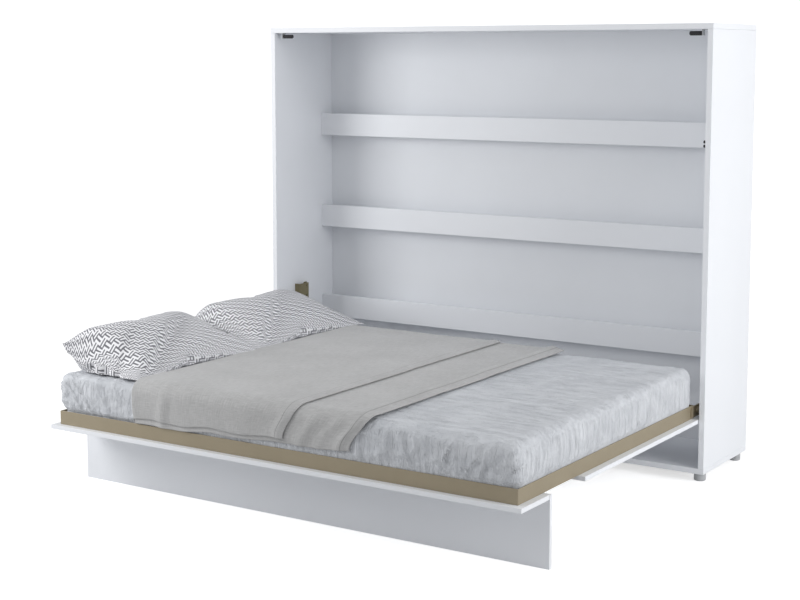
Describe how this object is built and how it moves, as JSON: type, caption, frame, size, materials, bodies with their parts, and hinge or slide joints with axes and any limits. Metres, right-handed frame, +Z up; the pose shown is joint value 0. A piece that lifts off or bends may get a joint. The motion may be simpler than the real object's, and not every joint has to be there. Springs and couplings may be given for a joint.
{
  "type": "murphy wall bed",
  "caption": "Horizontal fold-down double bed in a shallow white wall cabinet, let down on a folding board leg, with steel mattress rim, bedding and pillows.",
  "frame": {"origin": "centre of the whole bed's footprint with the bed let down, on the floor", "axes": "+X along the bed from the pillows to the foot end, +Y into the wall, +Z up"},
  "size_m": [2.11, 1.892, 1.785],
  "materials": {
    "white_laminate": "satin white melamine laminate on chipboard",
    "white_hardboard": "satin white lacquered hardboard",
    "champagne_steel": "satin champagne-gold powder coat",
    "zinc_steel": "zinc-plated, satin",
    "chrome_rod": "ground and polished",
    "black_paint": "semi-matt black paint",
    "black_rubber": "matt",
    "grey_plastic": "matt moulded",
    "beech": "clear matt lacquered beech",
    "sheet_cotton": "pale blue-grey crumpled cotton fitted sheet on a foam mattress",
    "throw_linen": "warm grey linen-look weave",
    "pillow_cotton": "white cotton with an interlocking grey key pattern"
  },
  "bodies": {
    "cabinet": {"side_panel_left": "white_laminate", "side_panel_right": "white_laminate", "hinge_bracket_left": "champagne_steel", "hinge_bracket_right": "champagne_steel", "pivot_pin_left": "zinc_steel", "pivot_pin_right": "zinc_steel", "spring_bracket_left": "champagne_steel", "spring_bracket_right": "champagne_steel", "buffer_holder_left": "zinc_steel", "buffer_holder_right": "zinc_steel", "corner_buffer_left": "black_rubber", "corner_buffer_right": "black_rubber", "top_panel": "white_laminate", "bottom_panel": "white_laminate", "back_panel": "white_hardboard", "wall_rail_top": "white_laminate", "wall_rail_middle": "white_laminate", "wall_rail_lower": "white_laminate", "side_buffer_lower": "black_rubber", "side_buffer_upper": "black_rubber", "foot_front_left": "grey_plastic", "foot_front_middle": "grey_plastic", "foot_front_right": "grey_plastic", "foot_back_left": "grey_plastic", "foot_back_middle": "grey_plastic", "foot_back_right": "grey_plastic"},
    "bed": {"front_board_outer": "white_laminate", "front_board_lower": "white_laminate", "rim_front": "champagne_steel", "rim_back": "champagne_steel", "rim_left": "champagne_steel", "rim_right": "champagne_steel", "slat_batten_front": "beech", "slat_batten_back": "beech", "middle_beam": "champagne_steel", "slat_01": "beech", "slat_02": "beech", "slat_03": "beech", "slat_04": "beech", "slat_05": "beech", "slat_06": "beech", "slat_07": "beech", "slat_08": "beech", "slat_09": "beech", "slat_10": "beech", "bed_arm_left": "champagne_steel", "bed_arm_right": "champagne_steel", "leg_hinge_left": "zinc_steel", "leg_hinge_middle": "zinc_steel", "leg_hinge_right": "zinc_steel", "mattress": "sheet_cotton", "throw_blanket": "throw_linen", "pillow_front": "pillow_cotton", "pillow_back": "pillow_cotton"},
    "leg": {"leg_board": "white_laminate"},
    "spring_cylinder_left": {"gas_spring_cylinder_left": "black_paint"},
    "spring_rod_left": {"gas_spring_rod_left": "chrome_rod"},
    "spring_cylinder_right": {"gas_spring_cylinder_right": "black_paint"},
    "spring_rod_right": {"gas_spring_rod_right": "chrome_rod"}
  },
  "joints": [
    {"name": "bed_fold", "type": "hinge", "parent": "cabinet", "child": "bed", "pos_m": [0, 0.5324, 0.2816], "axis": [-1, 0, 0], "range_deg": [0, 90]},
    {"name": "leg_fold", "type": "hinge", "parent": "bed", "child": "leg", "pos_m": [0, -0.746, 0.2433], "axis": [1, 0, 0], "range_deg": [0, 90]},
    {"name": "spring_tilt_left", "type": "hinge", "parent": "cabinet", "child": "spring_cylinder_left", "pos_m": [-1.018, 0.654, 0.57], "axis": [-1, 0, 0], "range_deg": [0, 20.5]},
    {"name": "spring_extend_left", "type": "slide", "parent": "spring_cylinder_left", "child": "spring_rod_left", "axis": [0, 0.0549, -0.9985], "range_m": [0, 0.148]},
    {"name": "spring_tilt_right", "type": "hinge", "parent": "cabinet", "child": "spring_cylinder_right", "pos_m": [1.018, 0.654, 0.57], "axis": [-1, 0, 0], "range_deg": [0, 20.5]},
    {"name": "spring_extend_right", "type": "slide", "parent": "spring_cylinder_right", "child": "spring_rod_right", "axis": [0, 0.0549, -0.9985], "range_m": [0, 0.148]}
  ],
  "couplings": [
    {"joint": "spring_tilt_left", "follows": "bed_fold", "ratio": 0.22553},
    {"joint": "spring_extend_left", "follows": "bed_fold", "m_per_rad": 0.093835},
    {"joint": "spring_tilt_right", "follows": "bed_fold", "ratio": 0.22553},
    {"joint": "spring_extend_right", "follows": "bed_fold", "m_per_rad": 0.093835}
  ]
}
